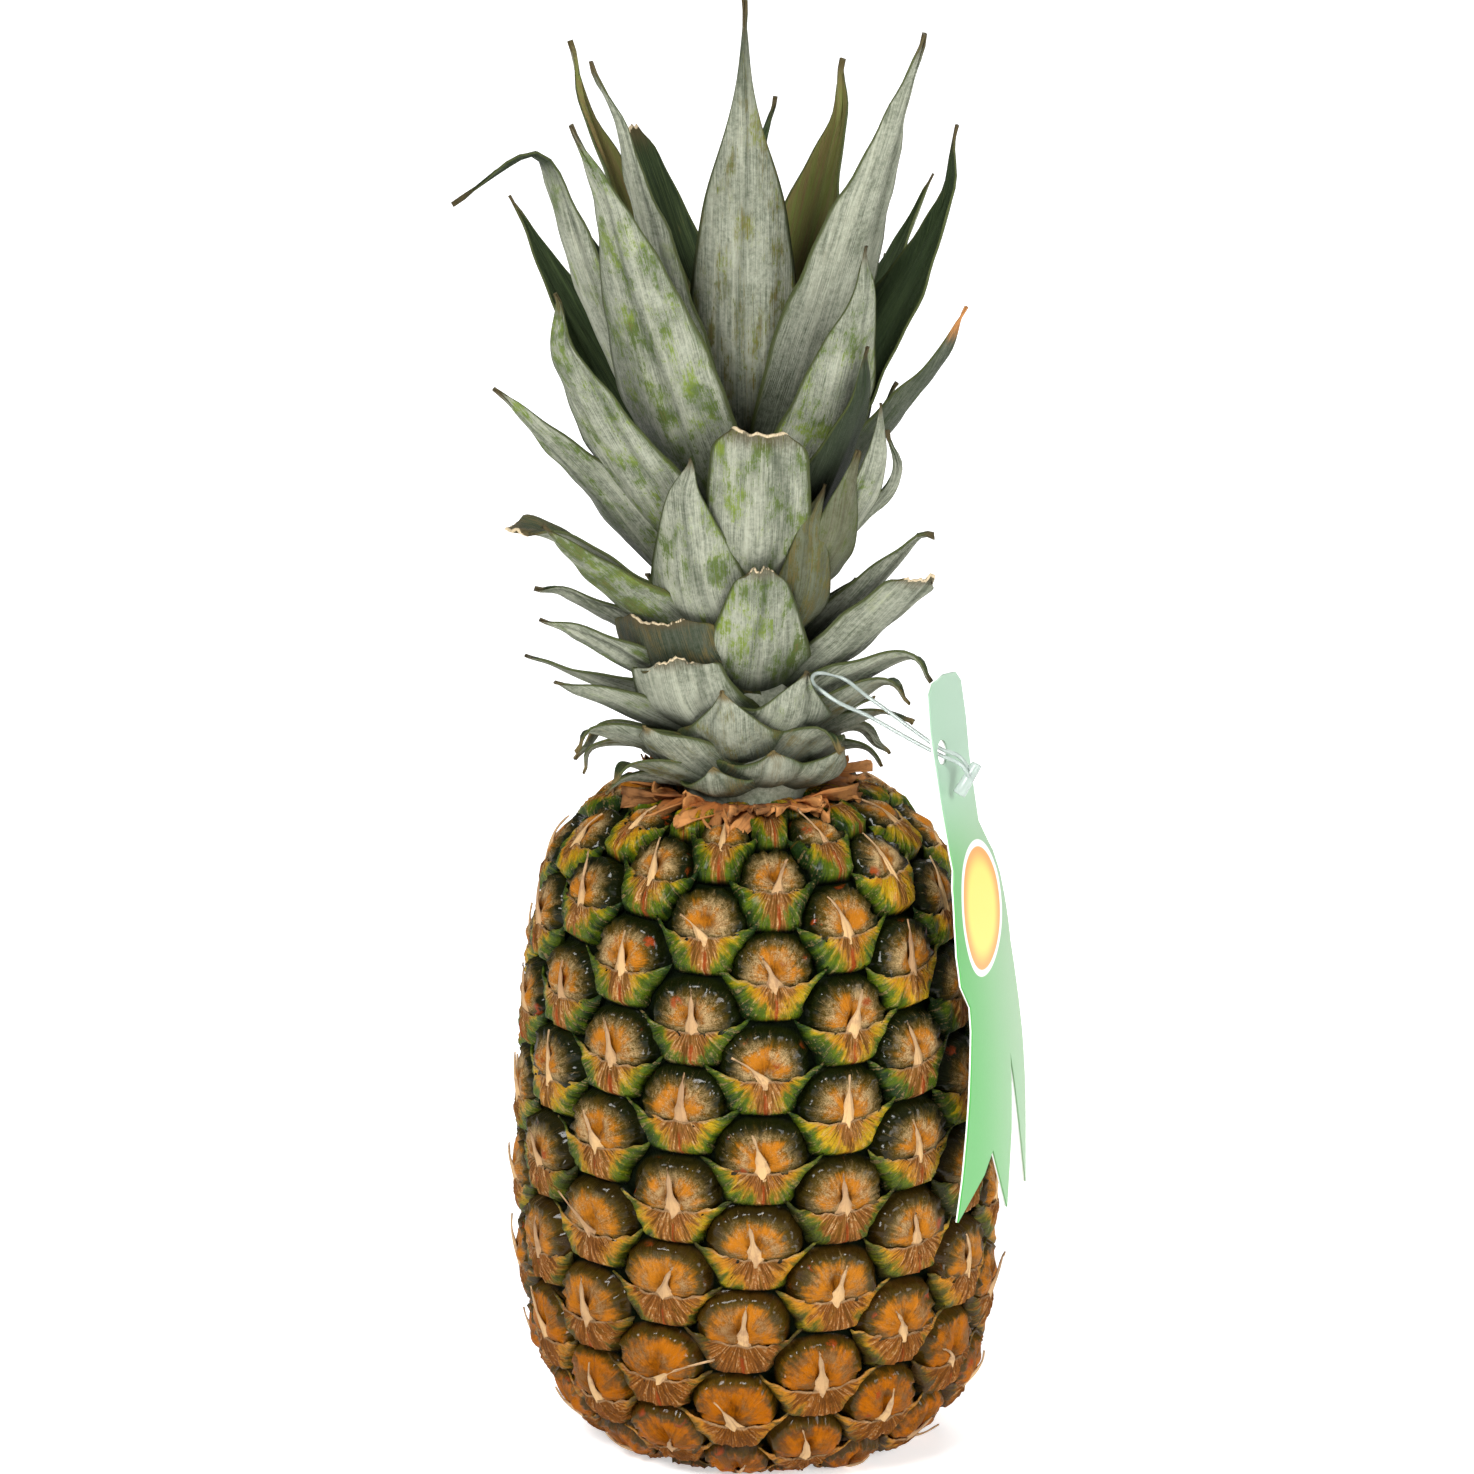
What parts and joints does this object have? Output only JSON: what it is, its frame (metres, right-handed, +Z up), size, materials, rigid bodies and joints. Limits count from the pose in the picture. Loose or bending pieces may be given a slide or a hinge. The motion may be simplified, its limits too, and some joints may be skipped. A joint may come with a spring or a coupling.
{
  "type": "pineapple",
  "caption": "Whole ripe pineapple standing upright, with its leafy crown, a dry bract collar and a blank green hang tag on a clear loop.",
  "frame": {"origin": "centre of the flat foot that the fruit stands on", "axes": "+Z up the fruit towards the crown, -Y towards the front, +X towards the side with the tag"},
  "size_m": [0.1435, 0.1274, 0.378],
  "materials": {
    "fruit_skin": "satin",
    "crown_leaf": "satin",
    "dry_bract": "matte",
    "cut_stalk": "matte",
    "tag_card": "gloss",
    "clear_plastic": "gloss"
  },
  "bodies": {
    "root": {"fruit": "fruit_skin", "bract_collar": "dry_bract", "crown": "crown_leaf", "stalk_stub": "cut_stalk", "tag_card": "tag_card", "tag_loop": "clear_plastic"}
  },
  "joints": []
}
